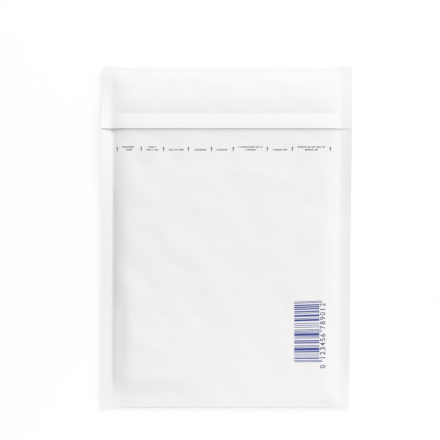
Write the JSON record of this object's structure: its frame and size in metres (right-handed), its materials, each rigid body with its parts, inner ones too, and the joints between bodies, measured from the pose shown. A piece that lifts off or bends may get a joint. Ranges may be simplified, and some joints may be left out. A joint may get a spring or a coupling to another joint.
{
  "type": "padded envelope",
  "caption": "Flat white paper mailing envelope with a bubble-film lining, pressed side seams and a padded flap folded down over its front.",
  "frame": {"origin": "on the resting plane, under the middle of the envelope", "axes": "+X to the right seen from the front, +Y along the length towards the top fold, +Z out of the front, up as it lies"},
  "size_m": [0.2, 0.275, 0.0103],
  "materials": {
    "white_paper": "matte",
    "blue_ink": "matte",
    "grey_ink": "matte"
  },
  "bodies": {
    "root": {"padded_envelope": "white_paper"}
  },
  "joints": []
}
